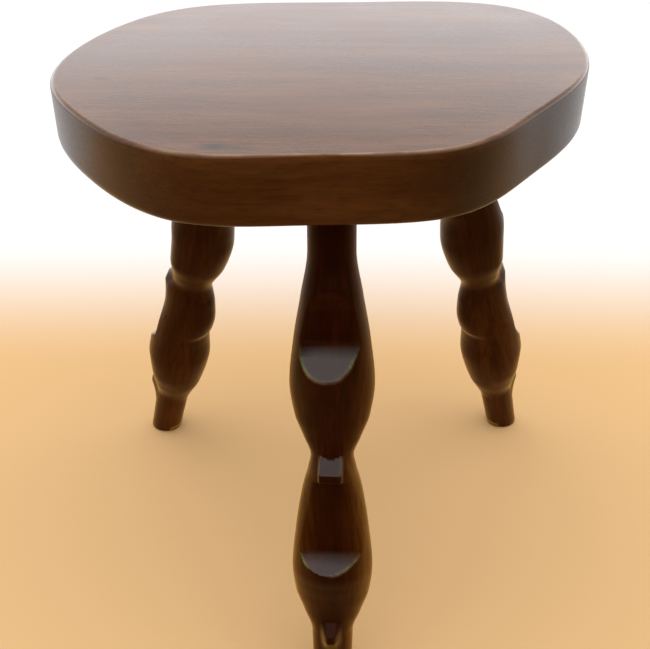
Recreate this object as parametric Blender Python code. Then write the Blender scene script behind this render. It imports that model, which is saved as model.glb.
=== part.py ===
"""Three leg stool: a thick shaped plank on three carved, splayed legs.

Units are metres, +Z is up and the feet stand on Z = 0. The origin is the middle of
the stool's footprint box, and the front leg points towards -Y. Each leg has a round
tenon of its own, glued into an angled blind mortise in the seat's underside.
"""

from math import cos, pi, radians, sin

import bmesh
import bpy
import numpy as np
from mathutils import Matrix, Vector

MM = 0.001
GAP = 0.3 * MM

# Overall sizes
TOTAL_HEIGHT = 377 * MM
SEAT_THICKNESS = 42 * MM
UNDERSIDE = TOTAL_HEIGHT - SEAT_THICKNESS
TOP_ROUNDING = 3 * MM
BOTTOM_ROUNDING = 3 * MM
LEFT_BOTTOM_ROUNDING = 10 * MM
LEFT_END = 175 * MM

# The tooth left standing below the waist, on the front leg and on the back legs, and the
# one above the ankle, as (distance down the leg, distance from its axis), in mm
SHORT_TOOTH_MM = ((167.5, 0), (168, 12), (178, 21.8), (183.5, 21.8), (184, 0))
LONG_TOOTH_MM = ((162, 0), (162.5, 16), (171, 22.5), (179, 23.5), (187, 19), (187.5, 0))
ANKLE_TOOTH_MM = ((288, 0), (288.5, 12.5), (299, 21.8), (304, 21.8), (317, 12.5), (318, 0))
# Each tooth's half width across its crest, then how far its sides slope down from there
NARROW_TOOTH_MM = (1.5, 6.5)
MIDDLE_TOOTH_MM = (6.5, 1.8)
BROAD_TOOTH_MM = (2.5, 9.5)

# Legs: where each axis meets the seat's underside and the floor (x, y), the way its
# carved outer face points, how much the hand carving stretched the pattern, the shape of
# its tooth and how far down that is moved, the sides of both teeth, how much fuller the
# waist is, where the lower notch starts and how deep, how far down its shelf is moved,
# and how much fuller the lower belly is, in mm
LEGS = {
    "front_leg": {
        "top": (0.1, -68.7), "foot": (3.1, -155.3), "facing": -94, "stretch": 1.01,
        "tooth": SHORT_TOOTH_MM, "tooth_drop": 0, "tooth_sides": MIDDLE_TOOTH_MM,
        "ankle_tooth_sides": NARROW_TOOTH_MM, "waist": 0, "notch_top": ((183, 24), (186, 15.5)),
        "shelf_drop": 0, "belly": 0,
    },
    "back_left_leg": {
        "top": (-74.3, 71.6), "foot": (-153.2, 115.1), "facing": 151, "stretch": 0.985,
        "tooth": LONG_TOOTH_MM, "tooth_drop": 1, "tooth_sides": BROAD_TOOTH_MM,
        "ankle_tooth_sides": BROAD_TOOTH_MM, "waist": 2.5, "notch_top": ((187, 24), (190, 18)),
        "shelf_drop": -4, "belly": 2,
    },
    "back_right_leg": {
        "top": (86, 74), "foot": (162.6, 124.1), "facing": 32, "stretch": 0.985,
        "tooth": LONG_TOOTH_MM, "tooth_drop": -3, "tooth_sides": BROAD_TOOTH_MM,
        "ankle_tooth_sides": BROAD_TOOTH_MM, "waist": 1.5, "notch_top": ((183, 24), (186, 18.5)),
        "shelf_drop": -5, "belly": 2,
    },
}
WAIST_SPAN_MM = (140, 185)
BELLY_SPAN_MM = (230, 290)

# Seat outline: control points (x, y) of a closed cubic B-spline, anticlockwise from the left
SEAT_OUTLINE_MM = (
    (-186, -1), (-147, -69), (-90, -131), (-15, -119), (75, -122), (115, -61),
    (173, 11), (172, 120), (121, 176), (8, 163), (-107, 164), (-161, 99),
)
OUTLINE_STEPS = 6
ROUNDING_SEGMENTS = 3

# Joints between legs and seat
TENON_RADIUS = 12.7 * MM
TENON_LENGTH = 30 * MM
TENON_CHAMFER = 1.5 * MM
FOOT_CHAMFER = 1.5 * MM
FOOT_EASING = 0.9

# Leg pattern: (distance down the leg from the seat, distance from its axis), in mm
ACROSS_MM = (
    (0, 14.8), (38, 14.8), (66, 19.2), (95, 24.2), (123, 27), (144, 24.3), (160, 18.6), (173, 14),
    (181, 15.4), (197, 19.6), (226, 24.3), (255, 27), (272, 25.2), (288, 20), (306, 14.1), (360, 13.2),
)
OUTWARD_MM = (
    (0, 14.8), (38, 14.8), (79, 20.6), (111, 24.4), (128, 20.9), (148, 16), (162, 13.8), (170, 14.4),
    (180, 20.2), (198, 20.6), (238, 25.2), (252, 25.2), (262, 22.6), (274, 18.8), (288, 15.5),
    (300, 14.2), (314, 13.8), (360, 13.2),
)
INWARD_MM = (
    (0, 14.8), (38, 14.8), (79, 23.5), (99.5, 21), (116, 24.3), (128, 26.2), (150, 23.3), (173, 15.6),
    (189, 21.6), (206, 24.6), (217, 23.4), (225, 20.6), (232, 21.2), (253, 25), (282, 22.3),
    (300, 16.8), (310, 14.4), (360, 13.2),
)
LEG_SIDES = 24
RING_SPACING = 10

# Notches carved across the outer face: (distance down, distance from the axis), in mm.
# Each has a face roughly parallel to the leg and a sloping shelf below it.
UPPER_NOTCH_MM = (
    (55, 22), (59.5, 17.2), (65, 15.4), (72, 13.9), (90, 14.2), (94.5, 15.2), (115, 24.2),
)
LOWER_NOTCH_SHELF_MM = ((236, 15.3), (252.5, 27.8))
NOTCH_REACH = 40
NOTCH_HALF_WIDTH = 40 * MM

SMOOTH_BELOW = radians(35)


def clear_scene():
    for item in list(bpy.data.objects):
        bpy.data.objects.remove(item, do_unlink=True)


def walnut(name, colour, roughness):
    material = bpy.data.materials.new(name)
    material.use_nodes = True
    shader = material.node_tree.nodes["Principled BSDF"]
    shader.inputs["Base Color"].default_value = (*colour, 1)
    shader.inputs["Roughness"].default_value = roughness
    shader.inputs["Metallic"].default_value = 0
    return material


def loft(loops):
    """A closed mesh through loops of equal length, with a flat cap on each end."""
    mesh = bmesh.new()
    rings = [[mesh.verts.new(point) for point in loop] for loop in loops]
    count = len(loops[0])
    for lower, upper in zip(rings, rings[1:]):
        for i in range(count):
            after = (i + 1) % count
            mesh.faces.new((lower[i], lower[after], upper[after], upper[i]))
    mesh.faces.new(reversed(rings[0]))
    mesh.faces.new(rings[-1])
    return mesh


def add_object(name, shape, matrix=None, material=None):
    bmesh.ops.recalc_face_normals(shape, faces=shape.faces)
    mesh = bpy.data.meshes.new(name)
    shape.to_mesh(mesh)
    shape.free()
    piece = bpy.data.objects.new(name, mesh)
    bpy.context.scene.collection.objects.link(piece)
    if matrix is not None:
        piece.matrix_world = matrix
    if material is not None:
        mesh.materials.append(material)
        mesh.shade_smooth()
        mesh.set_sharp_from_angle(angle=SMOOTH_BELOW)
    return piece


def cut(piece, cutter):
    cutter.hide_render = True
    cutter.display_type = "WIRE"
    boolean = piece.modifiers.new(cutter.name, "BOOLEAN")
    boolean.operation = "DIFFERENCE"
    boolean.solver = "EXACT"
    boolean.object = cutter


def smooth_curve(points, distances):
    """Values of a smooth curve through (distance, value) points, with no overshoot."""
    at, value = np.array(points, dtype=float).T
    step = np.diff(at)
    slope = np.diff(value) / step
    tangent = np.zeros(len(at))
    for i in range(1, len(at) - 1):
        if slope[i - 1] * slope[i] > 0:
            tangent[i] = 2 * slope[i - 1] * slope[i] / (slope[i - 1] + slope[i])
    span = np.clip(np.searchsorted(at, distances) - 1, 0, len(step) - 1)
    t = (distances - at[span]) / step[span]
    rise = value[span + 1] - value[span]
    return (
        value[span]
        + rise * t * t * (3 - 2 * t)
        + step[span] * (tangent[span] * t * (1 - t) ** 2 - tangent[span + 1] * t * t * (1 - t))
    )


def seat_edge():
    """Points round the seat's outline, each with the way outward from it."""
    controls = [Vector(point) * MM for point in SEAT_OUTLINE_MM]
    count = len(controls)
    edge = []
    for i in range(count):
        a, b, c, d = (controls[(i + j) % count] for j in range(4))
        for j in range(OUTLINE_STEPS):
            t = j / OUTLINE_STEPS
            place = a * (1 - t) ** 3 + b * (3 * t**3 - 6 * t**2 + 4)
            place = (place + c * (-3 * t**3 + 3 * t**2 + 3 * t + 1) + d * t**3) / 6
            ahead = d * t**2 - a * (1 - t) ** 2 + b * (3 * t**2 - 4 * t) + c * (-3 * t**2 + 2 * t + 1)
            edge.append((place, Vector((ahead.y, -ahead.x)).normalized()))
    return edge


def bottom_rounding(place):
    """The lower edge is rounded most at the seat's left end."""
    left = min(1, max(0, -place.x / LEFT_END))
    return BOTTOM_ROUNDING + (LEFT_BOTTOM_ROUNDING - BOTTOM_ROUNDING) * left**2


def seat_shape():
    """The plank, from its underside up, with a rounded edge all round."""
    edge = seat_edge()
    loops = []
    for j in range(ROUNDING_SEGMENTS + 1):
        angle = pi / 2 * j / ROUNDING_SEGMENTS
        loop = []
        for place, outward in edge:
            radius = bottom_rounding(place)
            spot = place - outward * radius * (1 - sin(angle))
            loop.append((*spot, UNDERSIDE + radius * (1 - cos(angle))))
        loops.append(loop)
    for j in range(ROUNDING_SEGMENTS + 1):
        angle = pi / 2 * j / ROUNDING_SEGMENTS
        height = TOTAL_HEIGHT - TOP_ROUNDING * (1 - sin(angle))
        inset = TOP_ROUNDING * (1 - cos(angle))
        loops.append([(*(place - outward * inset), height) for place, outward in edge])
    return loft(loops)


def leg_matrix(leg):
    """Leg space: origin on its axis at the seat's underside, -Z down the leg, +X outward."""
    top = Vector((leg["top"][0] * MM, leg["top"][1] * MM, UNDERSIDE))
    foot = Vector((leg["foot"][0] * MM, leg["foot"][1] * MM, 0))
    up = (top - foot).normalized()
    facing = radians(leg["facing"])
    outward = Vector((cos(facing), sin(facing), 0))
    outward = (outward - up * outward.dot(up)).normalized()
    turn = Matrix((outward, up.cross(outward), up)).transposed()
    return Matrix.Translation(top) @ turn.to_4x4()


def leg_teeth(leg):
    """The width, side slope and outline of each tooth, in mm, where this leg has them."""
    tooth = [(at + leg["tooth_drop"], x) for at, x in leg["tooth"]]
    return (*leg["tooth_sides"], tooth), (*leg["ankle_tooth_sides"], ANKLE_TOOTH_MM)


def fuller(points, span, more):
    """A row of the pattern, made fuller within a span of the leg."""
    return [(at, out + more * (span[0] < at < span[1])) for at, out in points]


def leg_section(pattern_distance, leg):
    """One cross-section of the leg, as (outward, sideways) pairs."""
    at = np.array([pattern_distance])
    outer_row = fuller(fuller(OUTWARD_MM, WAIST_SPAN_MM, leg["waist"]), BELLY_SPAN_MM, leg["belly"])
    across = smooth_curve(fuller(ACROSS_MM, WAIST_SPAN_MM, leg["waist"]), at)[0] * MM
    outward = smooth_curve(outer_row, at)[0] * MM
    inward = smooth_curve(INWARD_MM, at)[0] * MM
    teeth = [
        (half_width * MM, slope * MM, np.interp(pattern_distance, *np.array(outline).T) * MM)
        for half_width, slope, outline in leg_teeth(leg)
    ]
    section = []
    for i in range(LEG_SIDES):
        angle = 2 * pi * i / LEG_SIDES
        reach = outward if cos(angle) > 0 else inward
        x = reach * cos(angle)
        y = across * sin(angle)
        for half_width, slope, tooth in teeth:
            beside = (abs(y) - half_width) / slope
            if cos(angle) > 0 and beside < 1:
                x = max(x, tooth + (x - tooth) * max(0, beside))
        section.append((x, y))
    return section


def round_section(radius):
    angles = [2 * pi * i / LEG_SIDES for i in range(LEG_SIDES)]
    return [(radius * cos(angle), radius * sin(angle)) for angle in angles]


def level_loop(section, matrix, height):
    """A section moved along the leg until it lies level at this height."""
    across, along, upright, start = matrix[2]
    return [(x, y, (height - start - x * across - y * along) / upright) for x, y in section]


def leg_distances(length, leg):
    """Where the shaft's cross-sections go: at the pattern's stations and between them."""
    stations = [at for at, _ in OUTWARD_MM]
    stations += [at for *_, outline in leg_teeth(leg) for at, _ in outline]
    stations = sorted(at for at in stations if 0 < at < length - RING_SPACING)
    stations.append(length - RING_SPACING)
    distances = [stations[0] / 2]
    for start, end in zip(stations, stations[1:]):
        steps = max(1, round((end - start) / RING_SPACING))
        distances += [start + (end - start) * j / steps for j in range(steps)]
    return distances + stations[-1:]


def leg_shape(matrix, leg):
    """Tenon, level shoulder, carved shaft and level foot, from the top down."""
    stretch = leg["stretch"]
    length = UNDERSIDE / matrix[2][2] / stretch / MM
    tenon_tip = round_section(TENON_RADIUS - TENON_CHAMFER)
    tenon = round_section(TENON_RADIUS)
    foot = leg_section(length, leg)
    worn_foot = [(x * FOOT_EASING, y * FOOT_EASING) for x, y in foot]
    loops = [[(x, y, TENON_LENGTH) for x, y in tenon_tip]]
    loops.append([(x, y, TENON_LENGTH - TENON_CHAMFER) for x, y in tenon])
    loops.append(level_loop(tenon, matrix, UNDERSIDE - GAP))
    loops.append(level_loop(leg_section(0, leg), matrix, UNDERSIDE - GAP))
    for distance in leg_distances(length, leg):
        section = leg_section(distance, leg)
        loops.append([(x, y, -distance * stretch * MM) for x, y in section])
    loops.append(level_loop(foot, matrix, FOOT_CHAMFER))
    loops.append(level_loop(worn_foot, matrix, 0))
    return loft(loops)


def notch_outlines(leg):
    """Each notch's outline, closed beyond the wood, moved to where this leg has it."""
    shelf = [(at + leg["shelf_drop"], x) for at, x in LOWER_NOTCH_SHELF_MM]
    return [
        [*outline, (outline[-1][0], NOTCH_REACH), (outline[0][0], NOTCH_REACH)]
        for outline in (UPPER_NOTCH_MM, (*leg["notch_top"], *shelf))
    ]


def notch_shape(leg):
    """Prisms across the leg, one for each notch."""
    shape = bmesh.new()
    for outline in notch_outlines(leg):
        near, far = (
            [shape.verts.new((x * MM, side, -at * leg["stretch"] * MM)) for at, x in outline]
            for side in (-NOTCH_HALF_WIDTH, NOTCH_HALF_WIDTH)
        )
        shape.faces.new(near)
        shape.faces.new(reversed(far))
        for i in range(len(outline)):
            after = (i + 1) % len(outline)
            shape.faces.new((near[i], far[i], far[after], near[after]))
    return shape


def mortise_shape():
    """A round hole's cutter along the leg's axis, a little wider than the tenon."""
    section = round_section(TENON_RADIUS + GAP)
    ends = (TENON_LENGTH + GAP, -TENON_RADIUS)
    return loft([[(x, y, height) for x, y in section] for height in ends])


def main():
    clear_scene()
    seat = add_object("seat", seat_shape(), material=walnut("seat_walnut", (0.060, 0.032, 0.018), 0.34))
    for name, leg in LEGS.items():
        matrix = leg_matrix(leg)
        finish = walnut(name + "_walnut", (0.036, 0.018, 0.010), 0.30)
        shaft = add_object(name, leg_shape(matrix, leg), matrix, finish)
        cut(shaft, add_object(name + "_notches", notch_shape(leg), matrix))
        cut(seat, add_object(name + "_mortise", mortise_shape(), matrix))


main()
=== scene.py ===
"""The look of the three leg stool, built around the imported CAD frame.

Each CAD node is replaced by a fine mesh of the same shape and size, with the carving
and the worn edges in its geometry, and a stained walnut made of shader nodes.
Units are metres, +Z is up and the front leg points towards -Y.
"""

from math import cos, pi, radians, sin

import bpy
import numpy as np
from mathutils import Matrix, Vector, noise


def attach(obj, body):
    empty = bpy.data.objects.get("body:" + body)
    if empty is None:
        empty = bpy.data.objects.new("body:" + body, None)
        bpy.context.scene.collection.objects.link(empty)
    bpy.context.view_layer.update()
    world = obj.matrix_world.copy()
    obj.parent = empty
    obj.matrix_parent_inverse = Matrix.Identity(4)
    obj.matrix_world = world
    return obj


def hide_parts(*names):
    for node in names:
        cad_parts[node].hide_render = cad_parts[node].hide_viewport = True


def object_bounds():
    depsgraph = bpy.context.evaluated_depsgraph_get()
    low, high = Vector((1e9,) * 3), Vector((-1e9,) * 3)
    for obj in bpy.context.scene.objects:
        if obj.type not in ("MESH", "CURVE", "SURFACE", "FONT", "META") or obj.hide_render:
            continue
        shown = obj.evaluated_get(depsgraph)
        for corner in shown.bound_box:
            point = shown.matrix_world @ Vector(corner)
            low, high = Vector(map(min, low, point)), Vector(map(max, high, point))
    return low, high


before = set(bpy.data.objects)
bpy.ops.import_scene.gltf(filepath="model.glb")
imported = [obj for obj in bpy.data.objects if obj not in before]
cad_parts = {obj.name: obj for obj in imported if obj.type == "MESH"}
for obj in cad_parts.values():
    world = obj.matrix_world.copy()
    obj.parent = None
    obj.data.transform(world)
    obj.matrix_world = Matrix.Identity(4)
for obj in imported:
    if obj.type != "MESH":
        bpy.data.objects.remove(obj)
cad_low, cad_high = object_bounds()

MM = 0.001
GAP = 0.3 * MM

# Overall sizes, as in the CAD
TOTAL_HEIGHT = cad_high[2] - cad_low[2]
SEAT_THICKNESS = 42 * MM
UNDERSIDE = TOTAL_HEIGHT - SEAT_THICKNESS

# Camera: place, downward tilt, turn to the right and roll, in metres and radians
CAMERA_PLACE = (-0.0012, -0.5751, 0.5778)
CAMERA_TILT = 0.5931
CAMERA_TURN = -0.0047
CAMERA_ROLL = 0.0033
CAMERA_LENS = 52.6

# The tooth left standing below the waist, on the front leg and on the back legs, and the
# one above the ankle, as (distance down the leg, distance from its axis), in mm
SHORT_TOOTH_MM = ((167.5, 0), (168, 12), (178, 21.8), (183.5, 21.8), (184, 0))
LONG_TOOTH_MM = ((162, 0), (162.5, 16), (171, 22.5), (179, 23.5), (187, 19), (187.5, 0))
ANKLE_TOOTH_MM = ((288, 0), (288.5, 12.5), (299, 21.8), (304, 21.8), (317, 12.5), (318, 0))
# Each tooth's half width across its crest, then how far its sides slope down from there
NARROW_TOOTH_MM = (1.5, 6.5)
MIDDLE_TOOTH_MM = (6.5, 1.8)
BROAD_TOOTH_MM = (2.5, 9.5)

# Wood colours: the dark, middle and light parts of the grain, then the other tints,
# what the painted reflection on the leg sides multiplies the colour by, and the scales of the figure
SEAT_COLOURS = ((0.070, 0.022, 0.006), (0.100, 0.034, 0.008), (0.140, 0.052, 0.013))
# Painted light and shade: the front leg's colours are a darker copy and the back legs' a lighter copy
# of one walnut
FRONT_LEG_SHADED_COLOURS = ((0.015, 0.0016, 0.0004), (0.028, 0.0034, 0.0006), (0.050, 0.008, 0.0012))
BACK_LEG_LIT_COLOURS = ((0.028, 0.0066, 0.0012), (0.050, 0.0132, 0.0024), (0.085, 0.026, 0.004))
KNOT_COLOUR = (0.012, 0.006, 0.004, 1)
WORN_COLOUR = (0.42, 0.27, 0.16, 1)
# Painted reflection: how much lighter and warmer the leg sides are painted
PAINTED_SIDE_REFLECTION_FACTORS = (4.5, 11.0, 4.0, 1)
SHEEN_COLOUR = (1.0, 0.52, 0.03, 1)
STAIN_REFLECTION = (1.0, 0.50, 0.20, 1)
BAND_SCALE = 60
FIBRE_SCALE = 330
PORE_SCALE = 1020
CLOUD_SCALE = 13
RUBBED_SCALE = 55
WARP_SCALE = 9
WARP_REACH = 0.010
BUMP_DEPTH = 0.0002
GRAIN_ALONG_X = (0.09, 1.0, 1.0)
GRAIN_ALONG_Z = (1.0, 1.0, 0.09)

# Legs: where each axis meets the seat's underside and the floor (x, y), the way its
# carved outer face points, how much the hand carving stretched the pattern, the shape of
# its tooth and how far down that is moved, the sides of both teeth, how much fuller the
# waist is, where the lower notch starts and how deep, how far down its shelf is moved,
# and how much fuller the lower belly is, with lengths in mm and angles in degrees. Then
# its wood: how much painted bounce light lightens it towards the foot, how much painted
# reflection lightens and warms its sides, its colours and sheen, and how much the ankle tooth shines.
LEGS = {
    "front_leg": {
        "top": (0.1, -68.7), "foot": (3.1, -155.3), "facing": -94, "stretch": 1.01,
        "tooth": SHORT_TOOTH_MM, "tooth_drop": 0, "tooth_sides": MIDDLE_TOOTH_MM,
        "ankle_tooth_sides": NARROW_TOOTH_MM, "waist": 0, "notch_top": ((183, 24), (186, 15.5)),
        "shelf_drop": 0, "belly": 0,
        "painted_foot_light": 0.5, "side_reflection_strength": 1.0, "colours": FRONT_LEG_SHADED_COLOURS, "sheen": 0.6,
        "ankle_shine": 0.1,
    },
    "back_left_leg": {
        "top": (-74.3, 71.6), "foot": (-153.2, 115.1), "facing": 151, "stretch": 0.985,
        "tooth": LONG_TOOTH_MM, "tooth_drop": 1, "tooth_sides": BROAD_TOOTH_MM,
        "ankle_tooth_sides": BROAD_TOOTH_MM, "waist": 2.5, "notch_top": ((187, 24), (190, 18)),
        "shelf_drop": -4, "belly": 2,
        "painted_foot_light": 1.0, "side_reflection_strength": 0.0, "colours": BACK_LEG_LIT_COLOURS, "sheen": 0.45,
        "ankle_shine": 0.8,
    },
    "back_right_leg": {
        "top": (86, 74), "foot": (162.6, 124.1), "facing": 32, "stretch": 0.985,
        "tooth": LONG_TOOTH_MM, "tooth_drop": -3, "tooth_sides": BROAD_TOOTH_MM,
        "ankle_tooth_sides": BROAD_TOOTH_MM, "waist": 1.5, "notch_top": ((183, 24), (186, 18.5)),
        "shelf_drop": -5, "belly": 2,
        "painted_foot_light": 1.0, "side_reflection_strength": 0.0, "colours": BACK_LEG_LIT_COLOURS, "sheen": 0.45,
        "ankle_shine": 0.8,
    },
}
WAIST_SPAN_MM = (140, 185)
BELLY_SPAN_MM = (230, 290)

# Seat outline: control points (x, y) of a closed cubic B-spline, anticlockwise from the left
SEAT_OUTLINE_MM = (
    (-186, -1), (-147, -69), (-90, -131), (-15, -119), (75, -122), (115, -61),
    (173, 11), (172, 120), (121, 176), (8, 163), (-107, 164), (-161, 99),
)
OUTLINE_STEPS = 40

# Seat mesh: rings on the underside, the sides, the two rounded edges and the top
UNDERSIDE_RINGS = 24
SIDE_RINGS = 14
BOTTOM_EDGE_RINGS = 7
TOP_EDGE_RINGS = 9
TOP_RINGS = 60
TOP_DIP = 0.12 * MM
WORN_RIM = 0.008
TOP_ZONE = 4 * MM

# Where the seat's sides count as fully left, right or front, and how wide its middle is
LEFT_REACH = 0.175
RIGHT_REACH = 0.170
FRONT_REACH = 0.123
MIDDLE_REACH = 0.110
FULLY_SIDEWAYS = 0.6

# Knots and dark figure in the seat's top: place (x, y), width and depth in mm, strength
KNOTS_MM = (
    (-63, -111, 11, 6, 0.85), (-51, -113, 13, 4, 0.6), (-142, -8, 7, 3.5, 0.7),
    (92, 68, 60, 24, 0.3), (20, -85, 45, 16, 0.25),
)

TENON_RADIUS = 12.7 * MM
TENON_LENGTH = 30 * MM
TENON_TIP_SHARE = 0.88
TENON_CHAMFER = 1.5 * MM
FOOT_EASING = 0.93
FOOT_CHAMFER = 1.2 * MM

# Leg pattern: (distance down the leg from the seat, distance from its axis), in mm
ACROSS_MM = (
    (0, 14.8), (38, 14.8), (66, 19.2), (95, 24.2), (123, 27), (144, 24.3), (160, 18.6), (173, 14),
    (181, 15.4), (197, 19.6), (226, 24.3), (255, 27), (272, 25.2), (288, 20), (306, 14.1), (360, 13.2),
)
OUTWARD_MM = (
    (0, 14.8), (38, 14.8), (79, 20.6), (111, 24.4), (128, 20.9), (148, 16), (162, 13.8), (170, 14.4),
    (180, 20.2), (198, 20.6), (238, 25.2), (252, 25.2), (262, 22.6), (274, 18.8), (288, 15.5),
    (300, 14.2), (314, 13.8), (360, 13.2),
)
INWARD_MM = (
    (0, 14.8), (38, 14.8), (79, 23.5), (99.5, 21), (116, 24.3), (128, 26.2), (150, 23.3), (173, 15.6),
    (189, 21.6), (206, 24.6), (217, 23.4), (225, 20.6), (232, 21.2), (253, 25), (282, 22.3),
    (300, 16.8), (310, 14.4), (360, 13.2),
)

# Notches carved across the outer face: (distance down, distance from the axis), in mm.
# Each has a face roughly parallel to the leg and a sloping shelf below it.
UPPER_NOTCH_MM = (
    (55, 22), (59.5, 17.2), (65, 15.4), (72, 13.9), (86, 14.0), (91, 14.3), (94.5, 15.2),
    (98, 16.6), (115, 24.2), (124, 28.2),
)
LOWER_NOTCH_SHELF_MM = ((231, 15.2), (235, 15.6), (238, 17.1), (248.5, 24.8), (256, 30.3))
SHELF_STARTS_MM = (93.5, 236)
SHELF_ENDS_MM = (124, 256)
SHELF_FADE_MM = 8
SHELF_SKEW = 0.10
FAR_OUT_MM = 60.0
LEG_SIDES = 120
LEG_STEP_MM = 1.1
FIRST_RING_MM = 2.0
LAST_RINGS_MM = (10, 4)
EDGE_SOFTNESS = 0.5 * MM
EDGE_WEAR_WIDTH = 0.9 * MM
TOOTH_RISE = 0.3 * MM
TOOTH_SHINE = 0.8

# Studio light: sky colours by height (0 level, 1 overhead), in front and behind
FRONT_SKY = (
    (0.0, (0.010, 0.010, 0.010)), (0.15, (0.015, 0.015, 0.015)),
    (0.45, (0.50, 0.50, 0.50)), (1.0, (0.40, 0.40, 0.40)),
)
BACK_SKY = (
    (0.0, (0.85, 0.88, 0.92)), (0.25, (1.0, 1.04, 1.09)),
    (0.38, (0.22, 0.22, 0.225)), (1.0, (0.40, 0.40, 0.40)),
)
SKY_STRENGTH = 3.0
SKY_FADE = (-0.35, 0.75)
FLOOR_REACH = 6.0
FLOOR_FADE = (0.20, 0.50)
FLOOR_NEAR = (0.66, 0.41, 0.19, 1)
FLOOR_FAR = (0.76, 0.74, 0.73, 1)
# Area lamps: name, place, power in watts, size
LAMP_TARGET = (0, 0, 0.2)
LAMPS = (
    ("key", (-0.7, 0.5, 2.4), 12, 1.6),
    ("fill", (0.9, 0.1, 2.2), 8, 1.6),
)


def smooth_curve(points, distances):
    """Values of a smooth curve through (distance, value) points, with no overshoot."""
    at, value = np.array(points, dtype=float).T
    step = np.diff(at)
    slope = np.diff(value) / step
    tangent = np.zeros(len(at))
    for i in range(1, len(at) - 1):
        if slope[i - 1] * slope[i] > 0:
            tangent[i] = 2 * slope[i - 1] * slope[i] / (slope[i - 1] + slope[i])
    span = np.clip(np.searchsorted(at, distances) - 1, 0, len(step) - 1)
    t = (distances - at[span]) / step[span]
    rise = value[span + 1] - value[span]
    return (
        value[span]
        + rise * t * t * (3 - 2 * t)
        + step[span] * (tangent[span] * t * (1 - t) ** 2 - tangent[span + 1] * t * t * (1 - t))
    )


def smaller(a, b, softness):
    """The smaller of two values, with the corner between them rounded off."""
    blend = np.clip(softness - np.abs(a - b), 0, None)
    return np.minimum(a, b) - blend * blend / (4 * softness)


def loft(name, rings):
    """A closed mesh through rings of equal length, each end closed round its middle."""
    rings = np.array(rings)
    count, sides = rings.shape[:2]
    points = rings.reshape(-1, 3)
    ends = np.array([rings[0].mean(0), rings[-1].mean(0)])
    across = np.arange(sides)
    after = (across + 1) % sides
    faces = []
    for i in range(count - 1):
        low = i * sides
        high = low + sides
        faces.append(np.stack([low + across, low + after, high + after, high + across], 1))
    quads = np.concatenate(faces).tolist()
    first = len(points)
    last = (count - 1) * sides
    caps = [(first, after[i], across[i]) for i in range(sides)]
    caps += [(first + 1, last + across[i], last + after[i]) for i in range(sides)]
    mesh = bpy.data.meshes.new(name)
    mesh.from_pydata(np.vstack([points, ends]).tolist(), [], quads + [tuple(map(int, c)) for c in caps])
    mesh.validate()
    mesh.shade_smooth()
    piece = bpy.data.objects.new(name, mesh)
    bpy.context.scene.collection.objects.link(piece)
    return piece


def add_place(piece, matrix=None):
    """Each point in the wood's own space, so that the grain follows the piece."""
    points = np.array([v.co for v in piece.data.vertices])
    if matrix is not None:
        inverse = np.array(matrix.inverted())
        points = points @ inverse[:3, :3].T + inverse[:3, 3]
    attribute = piece.data.attributes.new("wood_place", "FLOAT_VECTOR", "POINT")
    attribute.data.foreach_set("vector", points.astype(np.float32).ravel())


def add_attribute(piece, name, values):
    attribute = piece.data.attributes.new(name, "FLOAT", "POINT")
    padded = np.zeros(len(piece.data.vertices), np.float32)
    padded[: len(values)] = values
    attribute.data.foreach_set("value", padded)


def leg_matrix(leg):
    """Leg space: origin on its axis at the seat's underside, -Z down the leg, +X outward."""
    top = Vector((leg["top"][0] * MM, leg["top"][1] * MM, UNDERSIDE))
    foot = Vector((leg["foot"][0] * MM, leg["foot"][1] * MM, 0))
    up = (top - foot).normalized()
    facing = radians(leg["facing"])
    outward = Vector((cos(facing), sin(facing), 0))
    outward = (outward - up * outward.dot(up)).normalized()
    turn = Matrix((outward, up.cross(outward), up)).transposed()
    return Matrix.Translation(top) @ turn.to_4x4()


def leg_teeth(leg):
    """The half width, side slope and outline of each tooth, in mm, and its shine."""
    tooth = [(at + leg["tooth_drop"], x) for at, x in leg["tooth"]]
    upper = (*leg["tooth_sides"], tooth, TOOTH_SHINE)
    return upper, (*leg["ankle_tooth_sides"], ANKLE_TOOTH_MM, leg["ankle_shine"])


def fuller(points, span, more):
    """A row of the pattern, made fuller within a span of the leg."""
    return [(at, out + more * (span[0] < at < span[1])) for at, out in points]


def notch_outlines(leg):
    """The two notches' outlines, moved to where this leg has them."""
    shelf = [(at + leg["shelf_drop"], x) for at, x in LOWER_NOTCH_SHELF_MM]
    return UPPER_NOTCH_MM, (*leg["notch_top"], *shelf)


def notch_limit(distances, outlines):
    """How far out the notches leave the wood, at each distance down the leg, in mm."""
    limit = np.full(len(distances), FAR_OUT_MM)
    for outline in outlines:
        at, out = np.array(outline).T
        inside = (distances >= at[0]) & (distances <= at[-1])
        limit[inside] = np.interp(distances[inside], at, out)
    return limit


def shelf_share(distances, leg):
    """1 where a distance down the leg is on a notch's sloping shelf, 0 elsewhere."""
    share = np.zeros(len(distances))
    for start, end, drop in zip(SHELF_STARTS_MM, SHELF_ENDS_MM, (0, leg["shelf_drop"])):
        rise = np.clip((distances - start - drop) / SHELF_FADE_MM, 0, 1)
        share = np.maximum(share, np.where(distances <= end + drop, rise, 0))
    return share


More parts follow.
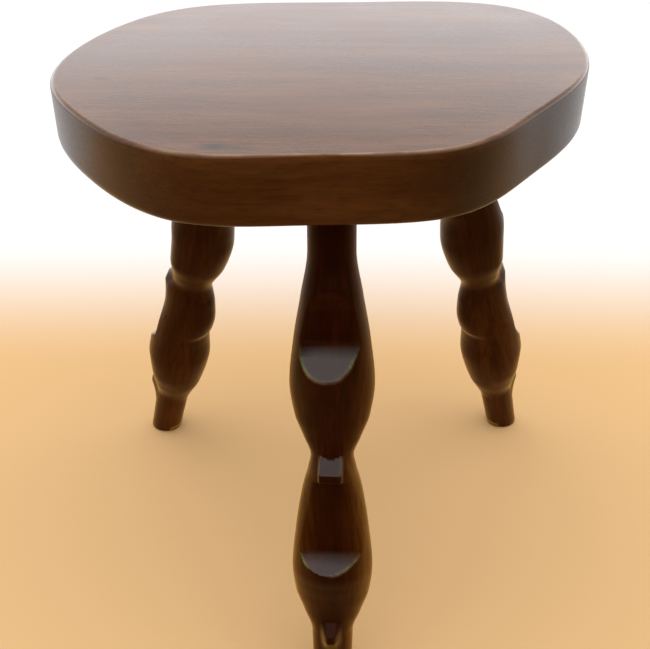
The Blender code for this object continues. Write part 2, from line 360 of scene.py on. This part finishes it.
def build_leg(name, leg):
    """One leg, carved ring by ring, with its wear, painted light and shade, painted side reflection and
    polish per point.
    """
    matrix = leg_matrix(leg)
    stretch = leg["stretch"]
    length = UNDERSIDE / matrix[2][2] / stretch / MM
    outlines = notch_outlines(leg)
    stations = [at for outline in outlines for at, _ in outline]
    stations += [at for _, _, outline, _ in leg_teeth(leg) for at, _ in outline]
    stations += [FIRST_RING_MM, length - LAST_RINGS_MM[0]]
    stations = sorted(set(stations))
    distances = []
    for start, end in zip(stations, stations[1:]):
        steps = max(1, round((end - start) / LEG_STEP_MM))
        distances += [start + (end - start) * i / steps for i in range(steps)]
    distances = np.array(distances + [stations[-1], length - LAST_RINGS_MM[1], length])
    outer_row = fuller(fuller(OUTWARD_MM, WAIST_SPAN_MM, leg["waist"]), BELLY_SPAN_MM, leg["belly"])
    across = smooth_curve(fuller(ACROSS_MM, WAIST_SPAN_MM, leg["waist"]), distances) * MM
    outward = smooth_curve(outer_row, distances) * MM
    inward = smooth_curve(INWARD_MM, distances) * MM
    limit = notch_limit(distances, outlines) * MM
    shelf = shelf_share(distances, leg)
    teeth = [
        (half_width * MM, slope * MM, np.interp(distances, *np.array(outline).T) * MM, shine)
        for half_width, slope, outline, shine in leg_teeth(leg)
    ]
    angles = 2 * pi * np.arange(LEG_SIDES) / LEG_SIDES
    outer_half = np.cos(angles) > 0
    rings = []
    wear = []
    polish = []
    for i, distance in enumerate(distances):
        reach = np.where(outer_half, outward[i], inward[i])
        x = reach * np.cos(angles)
        y = across[i] * np.sin(angles)
        z = np.full(LEG_SIDES, -distance * stretch * MM)
        edge = limit[i] + SHELF_SKEW * shelf[i] * y
        cut = np.where(outer_half, smaller(x, edge, EDGE_SOFTNESS), x)
        carved = cut
        on_tooth = np.zeros(LEG_SIDES)
        for half_width, slope, tooth, shine in teeth:
            beside = np.clip((np.abs(y) - half_width) / slope, 0, 1)
            beside = beside * beside * (3 - 2 * beside)
            raised = np.where(outer_half, tooth[i] + (cut - tooth[i]) * beside, cut)
            upper_face = (raised > cut) & (tooth[i] > tooth[i - 1] + TOOTH_RISE)
            on_tooth = np.maximum(on_tooth, np.where(upper_face, shine * (1 - beside), 0))
            carved = np.maximum(carved, raised)
        rings.append(np.stack([carved, y, z], 1))
        near_edge = np.clip(1 - np.abs(x - edge) / EDGE_WEAR_WIDTH, 0, 1)
        wear.append(near_edge * shelf[i])
        polish.append(np.maximum(np.where(x > edge, shelf[i], 0), on_tooth))
    rows = np.array(matrix)[2]

    def level(ring, height):
        ring = ring.copy()
        ring[:, 2] = (height - rows[3] - ring[:, 0] * rows[0] - ring[:, 1] * rows[1]) / rows[2]
        return ring

    collar = rings[0].copy()
    tenon = np.stack([np.cos(angles), np.sin(angles), 0 * angles], 1) * TENON_RADIUS
    tip = tenon * TENON_TIP_SHARE
    tip[:, 2] = TENON_LENGTH
    tenon_end = tenon.copy()
    tenon_end[:, 2] = TENON_LENGTH - TENON_CHAMFER
    head = [tip, tenon_end, level(tenon, UNDERSIDE - GAP), level(collar, UNDERSIDE - GAP)]
    foot = rings[-1]
    eased = foot * np.array([FOOT_EASING, FOOT_EASING, 1])
    tail = [level(foot, FOOT_CHAMFER), level(eased, 0)]
    rings = head + rings[:-1] + tail
    none = [np.zeros(LEG_SIDES)]
    wear = none * len(head) + wear[:-1] + none * len(tail)
    polish = none * len(head) + polish[:-1] + none * len(tail)
    turn = np.array(matrix)
    rings = np.array(rings) @ turn[:3, :3].T + turn[:3, 3]
    piece = loft(name + "_carved", rings)
    add_place(piece, matrix)
    add_attribute(piece, "wear", np.concatenate(wear))
    heights = np.array([v.co.z for v in piece.data.vertices])
    lower = np.clip(1 - heights / UNDERSIDE, 0, 1)
    # Painted light: the leg's colour is painted lighter towards the foot, as bounce light from the
    # floor would make it
    add_attribute(piece, "painted_shading", 0.45 + 0.55 * lower**1.5 * leg["painted_foot_light"])
    sides = np.append(np.tile(np.abs(np.sin(angles)), len(rings)), [0, 0])
    # Painted reflection: the leg's sides are painted lighter and warmer, as reflected surroundings
    # would make them
    add_attribute(piece, "painted_side_reflection", leg["side_reflection_strength"] * sides**3 * np.clip(lower * 2.6, 0, 1))
    add_attribute(piece, "polish", np.concatenate(polish))
    return piece


def seat_outline():
    """Points round the seat's edge and the way outward at each, in metres."""
    controls = np.array(SEAT_OUTLINE_MM) * MM
    t = (np.arange(OUTLINE_STEPS) / OUTLINE_STEPS)[:, None]
    place_weights = ((1 - t) ** 3, 3 * t**3 - 6 * t**2 + 4, -3 * t**3 + 3 * t**2 + 3 * t + 1, t**3)
    ahead_weights = (-((1 - t) ** 2), 3 * t**2 - 4 * t, -3 * t**2 + 2 * t + 1, t**2)
    points = []
    outs = []
    for i in range(len(controls)):
        near = [controls[(i + j) % len(controls)] for j in range(4)]
        points.append(sum(w * c for w, c in zip(place_weights, near)) / 6)
        ahead = sum(w * c for w, c in zip(ahead_weights, near))
        outs.append(np.stack([ahead[:, 1], -ahead[:, 0]], 1))
    points = np.concatenate(points)
    outs = np.concatenate(outs)
    return points, outs / np.linalg.norm(outs, axis=1)[:, None]


def round_noise(points, scale, seed):
    """Smooth random values at (x, y) points."""
    return np.array([noise.noise(Vector((x * scale, y * scale, seed))) for x, y in points])


def build_seat():
    """The plank, from the middle of its underside round the edge to the middle of its top."""
    points, outs = seat_outline()
    wobble = round_noise(points, 9, 3.1)
    left = np.clip(-points[:, 0] / LEFT_REACH, 0, 1)
    right = np.clip(points[:, 0] / RIGHT_REACH, 0, 1)
    front = np.clip(-points[:, 1] / FRONT_REACH, 0, 1)
    middle = front * (1 - np.clip(np.abs(points[:, 0]) / MIDDLE_REACH, 0, 1))
    top_round = (2.9 - 1.7 * middle + 0.5 * wobble) * MM
    bottom_round = (3.0 + 7.5 * left**2 + 1.5 * right**2 + 0.8 * wobble) * MM

    def loop(inset, height):
        place = points - outs * inset[:, None]
        return np.column_stack([place, height])

    none = np.zeros(len(points))
    rings = []
    wear = []
    centre = points.mean(0)
    line = 0.25 + 0.75 * np.clip(1.6 * middle, 0, 1)
    flat_edge = points - outs * (bottom_round + 1 * MM)[:, None]
    for share in np.linspace(0.02, 0.97, UNDERSIDE_RINGS):
        flat = centre + (flat_edge - centre) * share
        rings.append(np.column_stack([flat, none + UNDERSIDE]))
        wear.append(none)
    for angle in np.linspace(0, pi / 2, BOTTOM_EDGE_RINGS):
        height = UNDERSIDE + bottom_round * (1 - cos(angle))
        rings.append(loop(bottom_round * (1 - sin(angle)), height))
        wear.append(none + 0.3 * sin(2 * angle))
    low = UNDERSIDE + bottom_round
    high = TOTAL_HEIGHT - top_round
    for share in np.linspace(0.08, 0.92, SIDE_RINGS):
        rings.append(loop(none, low + (high - low) * share))
        wear.append(none)
    for angle in np.linspace(0, pi / 2, TOP_EDGE_RINGS):
        height = TOTAL_HEIGHT - top_round * (1 - sin(angle))
        rings.append(loop(top_round * (1 - cos(angle)), height))
        wear.append(line * sin(angle) ** 4)
    rim = points - outs * top_round[:, None]
    rim_shares = [1 - 0.002, 1 - 0.005, 1 - 0.009]
    for share in np.concatenate([rim_shares, np.linspace(0.984, 0.015, TOP_RINGS)]):
        flat = centre + (rim - centre) * share
        dip = (round_noise(flat, 14, 8.4) * 0.5 + 0.5) * TOP_DIP * min(1, (1 - share) * 12)
        rings.append(np.column_stack([flat, TOTAL_HEIGHT - dip]))
        wear.append(line * max(0, 1 - (1 - share) / WORN_RIM))
    piece = loft("seat_plank", rings)
    add_place(piece)
    add_attribute(piece, "wear", np.concatenate(wear))
    heights = np.array([v.co.z for v in piece.data.vertices])
    on_top = np.clip((heights - TOTAL_HEIGHT + TOP_ZONE) / TOP_ZONE, 0, 1)
    sideways = np.append(np.tile(outs[:, 0], len(rings)), [0, 0])
    leftward = np.clip(-sideways / FULLY_SIDEWAYS, 0, 1)
    rightward = np.clip(sideways / FULLY_SIDEWAYS, 0, 1)
    polished_sides = 0.17 * leftward + 0.08 * rightward
    add_attribute(piece, "polish", 0.33 * on_top + polished_sides * (1 - on_top))
    add_attribute(piece, "painted_side_reflection", np.zeros(1))
    # Painted shade: the seat's sides are painted darker than its top and the right side darker still;
    # the darkening where the sides turn towards end grain is the wood's own
    sides = 0.47 * (1 - 0.45 * np.abs(sideways)) * (1 - 0.75 * rightward)
    add_attribute(piece, "painted_shading", sides * (1 - on_top**2) + on_top**2)
    return piece


class Nodes:
    """Adds shader nodes to a material, with short calls."""

    def __init__(self, name):
        self.material = bpy.data.materials.new(name)
        self.material.use_nodes = True
        self.tree = self.material.node_tree
        self.shader = self.tree.nodes["Principled BSDF"]

    def add(self, kind, settings=None, **inputs):
        node = self.tree.nodes.new(kind)
        for key, value in (settings or {}).items():
            setattr(node, key, value)
        for key, value in inputs.items():
            self.put(node.inputs[key.replace("_", " ")], value)
        return node

    def put(self, socket, value):
        if isinstance(value, bpy.types.NodeSocket):
            self.tree.links.new(value, socket)
        else:
            socket.default_value = value

    def attribute(self, name, output="Fac"):
        return self.add("ShaderNodeAttribute", {"attribute_name": name}).outputs[output]

    def noise(self, place, scale, detail, roughness):
        node = self.add("ShaderNodeTexNoise", Vector=place, Scale=scale, Detail=detail)
        node.inputs["Roughness"].default_value = roughness
        return node.outputs["Fac"]

    def math(self, operation, a, b, c=0.0):
        node = self.add("ShaderNodeMath", {"operation": operation})
        for socket, value in zip(node.inputs, (a, b, c)):
            self.put(socket, value)
        return node.outputs[0]

    def ramp(self, value, stops):
        node = self.add("ShaderNodeValToRGB")
        set_stops(node, stops)
        self.put(node.inputs[0], value)
        return node.outputs[0]

    def mix(self, share, a, b, blend="MIX"):
        node = self.add("ShaderNodeMix", {"data_type": "RGBA", "blend_type": blend})
        self.put(node.inputs[0], share)
        self.put(node.inputs[6], a)
        self.put(node.inputs[7], b)
        return node.outputs[2]


def set_stops(ramp, stops):
    """Puts (position, colour) stops on a colour ramp node."""
    elements = ramp.color_ramp.elements
    while len(elements) < len(stops):
        elements.new(0.5)
    for element, (position, colour) in zip(elements, stops):
        element.position = position
        element.color = (*colour, 1)


def grey(value):
    return (value, value, value)


def knot_share(n, place, knot):
    """1 in the heart of a knot at (x, y) with this width and depth, 0 outside it."""
    x, y, width, depth, strength = knot
    away = n.add("ShaderNodeVectorMath", {"operation": "SUBTRACT"})
    n.put(away.inputs[0], place)
    away.inputs[1].default_value = (x * MM, y * MM, 0)
    scaled = n.add("ShaderNodeVectorMath", {"operation": "MULTIPLY"})
    n.put(scaled.inputs[0], away.outputs[0])
    scaled.inputs[1].default_value = (1 / (width * MM), 1 / (depth * MM), 0)
    distance = n.add("ShaderNodeVectorMath", {"operation": "LENGTH"})
    n.put(distance.inputs[0], scaled.outputs[0])
    return n.ramp(distance.outputs["Value"], [(0.15, grey(strength)), (1.0, grey(0.0))])


def stained_walnut(name, grain, colours, roughness, gloss, knots=()):
    """Stained walnut. Grain is the scale of the wood's own (x, y, z), small along the grain."""
    n = Nodes(name)
    place = n.attribute("wood_place", "Vector")
    warp = n.add("ShaderNodeTexNoise", Vector=place, Scale=WARP_SCALE, Detail=2.0)
    nudge = n.add("ShaderNodeVectorMath", {"operation": "SUBTRACT"})
    n.put(nudge.inputs[0], warp.outputs["Color"])
    nudge.inputs[1].default_value = grey(0.5)
    moved = n.add("ShaderNodeVectorMath", {"operation": "MULTIPLY_ADD"})
    n.put(moved.inputs[0], nudge.outputs[0])
    moved.inputs[1].default_value = grey(WARP_REACH)
    n.put(moved.inputs[2], place)
    along = n.add("ShaderNodeMapping", Vector=moved.outputs[0], Scale=grain).outputs[0]
    bands = n.noise(along, BAND_SCALE, 3.0, 0.5)
    fibres = n.noise(along, FIBRE_SCALE, 5.0, 0.62)
    pores = n.noise(along, PORE_SCALE, 1.0, 0.4)
    cloud = n.noise(place, CLOUD_SCALE, 4.0, 0.6)
    fine = n.math("MULTIPLY", fibres, 0.45)
    tone = n.math("MULTIPLY_ADD", bands, 0.55, fine)
    dark, middle, light = colours
    wood = n.ramp(tone, [(0.36, dark), (0.50, middle), (0.64, light)])
    mottle = n.ramp(cloud, [(0.25, grey(0.80)), (0.75, grey(1.15))])
    wood = n.mix(1.0, wood, mottle, "MULTIPLY")
    pits = n.ramp(pores, [(0.30, grey(0.45)), (0.42, grey(1.0))])
    wood = n.mix(0.55, wood, pits, "MULTIPLY")
    for knot in knots:
        wood = n.mix(knot_share(n, moved.outputs[0], knot), wood, KNOT_COLOUR)
    wear = n.attribute("wear")
    rubbed = n.add("ShaderNodeTexNoise", Vector=place, Scale=RUBBED_SCALE, Detail=3.0)
    patches = n.ramp(rubbed.outputs["Fac"], [(0.35, grey(0.0)), (0.65, grey(1.0))])
    worn = n.math("MULTIPLY", wear, patches)
    wood = n.mix(n.math("MULTIPLY", worn, 0.6), wood, WORN_COLOUR)
    # Painted reflection: the leg sides' colour is multiplied up, lighter and warmer, where reflected
    # surroundings would light them
    painted_side_reflection = n.attribute("painted_side_reflection")
    wood = n.mix(painted_side_reflection, wood, n.mix(1.0, wood, PAINTED_SIDE_REFLECTION_FACTORS, "MULTIPLY"))
    # Painted light and shade: the colour is multiplied by a per-point factor that paints the seat's
    # sides darker and the legs lighter towards the foot
    painted_shading = n.attribute("painted_shading")
    painted_shading = n.ramp(painted_shading, [(0.0, grey(0.0)), (1.0, grey(1.0))])
    wood = n.mix(1.0, wood, painted_shading, "MULTIPLY")
    n.put(n.shader.inputs["Base Color"], wood)
    rough = n.math("MULTIPLY_ADD", fibres, 0.10, roughness - 0.12)
    rough = n.math("MULTIPLY_ADD", cloud, 0.14, rough)
    n.put(n.shader.inputs["Roughness"], rough)
    height = n.math("MULTIPLY_ADD", fibres, 0.5, pits)
    bump = n.add("ShaderNodeBump", Strength=0.05, Distance=BUMP_DEPTH, Height=height)
    n.put(n.shader.inputs["Normal"], bump.outputs[0])
    n.shader.inputs["IOR"].default_value = 1.5
    n.shader.inputs["Specular IOR Level"].default_value = gloss
    n.shader.inputs["Specular Tint"].default_value = STAIN_REFLECTION
    polish = n.attribute("polish")
    n.put(n.shader.inputs["Coat Weight"], polish)
    n.shader.inputs["Coat Roughness"].default_value = 0.20
    return n.material


def build_floor():
    """A plain pale floor, warm near the stool and neutral behind it."""
    mesh = bpy.data.meshes.new("floor")
    turns = ((-1, -1), (1, -1), (1, 1), (-1, 1))
    corners = [(x * FLOOR_REACH, y * FLOOR_REACH, 0) for x, y in turns]
    mesh.from_pydata(corners, [], [(0, 1, 2, 3)])
    floor = bpy.data.objects.new("floor", mesh)
    bpy.context.scene.collection.objects.link(floor)
    n = Nodes("pale_floor")
    place = n.add("ShaderNodeTexCoord").outputs["Object"]
    split = n.add("ShaderNodeSeparateXYZ", Vector=place)
    share = n.add("ShaderNodeMapRange", {"interpolation_type": "SMOOTHSTEP"}, Value=split.outputs["Y"])
    share.inputs["From Min"].default_value = FLOOR_FADE[0]
    share.inputs["From Max"].default_value = FLOOR_FADE[1]
    n.put(n.shader.inputs["Base Color"], n.mix(share.outputs[0], FLOOR_NEAR, FLOOR_FAR))
    n.shader.inputs["Roughness"].default_value = 0.9
    n.shader.inputs["Specular IOR Level"].default_value = 0.1
    mesh.materials.append(n.material)


def build_light():
    """A sky that is dark low in front and bright low behind, and two area lamps."""
    world = bpy.data.worlds.new("studio")
    bpy.context.scene.world = world
    world.use_nodes = True
    tree = world.node_tree
    background = tree.nodes["Background"]
    place = tree.nodes.new("ShaderNodeTexCoord")
    split = tree.nodes.new("ShaderNodeSeparateXYZ")
    tree.links.new(place.outputs["Generated"], split.inputs[0])
    skies = []
    for stops in (FRONT_SKY, BACK_SKY):
        ramp = tree.nodes.new("ShaderNodeValToRGB")
        set_stops(ramp, stops)
        tree.links.new(split.outputs["Z"], ramp.inputs[0])
        skies.append(ramp.outputs[0])
    share = tree.nodes.new("ShaderNodeMapRange")
    share.interpolation_type = "SMOOTHSTEP"
    share.inputs["From Min"].default_value = SKY_FADE[0]
    share.inputs["From Max"].default_value = SKY_FADE[1]
    tree.links.new(split.outputs["Y"], share.inputs["Value"])
    mix = tree.nodes.new("ShaderNodeMix")
    mix.data_type = "RGBA"
    tree.links.new(share.outputs[0], mix.inputs[0])
    tree.links.new(skies[0], mix.inputs[6])
    tree.links.new(skies[1], mix.inputs[7])
    tree.links.new(mix.outputs[2], background.inputs["Color"])
    background.inputs["Strength"].default_value = SKY_STRENGTH
    for name, place, energy, size in LAMPS:
        light = bpy.data.lights.new(name, "AREA")
        light.energy = energy
        light.size = size
        lamp = bpy.data.objects.new(name, light)
        lamp.location = place
        aim = Vector(LAMP_TARGET) - lamp.location
        lamp.rotation_euler = aim.to_track_quat("-Z", "Y").to_euler()
        bpy.context.scene.collection.objects.link(lamp)


def build_camera():
    """The camera in front of the stool, looking down on it."""
    data = bpy.data.cameras.new("camera")
    data.lens = CAMERA_LENS
    data.sensor_width = 36
    data.clip_start = 0.01
    camera = bpy.data.objects.new("camera", data)
    flat_right = Vector((cos(CAMERA_TURN), -sin(CAMERA_TURN), 0))
    ahead = Vector((sin(CAMERA_TURN), cos(CAMERA_TURN), 0))
    forward = ahead * cos(CAMERA_TILT) + Vector((0, 0, -sin(CAMERA_TILT)))
    upright = ahead * sin(CAMERA_TILT) + Vector((0, 0, cos(CAMERA_TILT)))
    right = flat_right * cos(CAMERA_ROLL) + upright * sin(CAMERA_ROLL)
    up = upright * cos(CAMERA_ROLL) - flat_right * sin(CAMERA_ROLL)
    turn = Matrix((right, up, -forward)).transposed().to_4x4()
    camera.matrix_world = Matrix.Translation(CAMERA_PLACE) @ turn
    bpy.context.scene.collection.objects.link(camera)
    bpy.context.scene.camera = camera


def main():
    seat = build_seat()
    seat.data.materials.append(
        stained_walnut("seat_walnut", GRAIN_ALONG_X, SEAT_COLOURS, 0.28, 0.2, KNOTS_MM)
    )
    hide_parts("seat")
    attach(seat, "root")
    for name, leg in LEGS.items():
        piece = build_leg(name, leg)
        finish = stained_walnut(name + "_walnut", GRAIN_ALONG_Z, leg["colours"], 0.30, 0.08)
        shader = finish.node_tree.nodes["Principled BSDF"]
        shader.inputs["Sheen Weight"].default_value = leg["sheen"]
        shader.inputs["Sheen Roughness"].default_value = 0.30
        shader.inputs["Sheen Tint"].default_value = SHEEN_COLOUR
        piece.data.materials.append(finish)
        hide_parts(name)
        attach(piece, "root")
    build_floor()
    build_light()
    build_camera()
    bpy.context.scene.view_settings.view_transform = "Standard"


main()
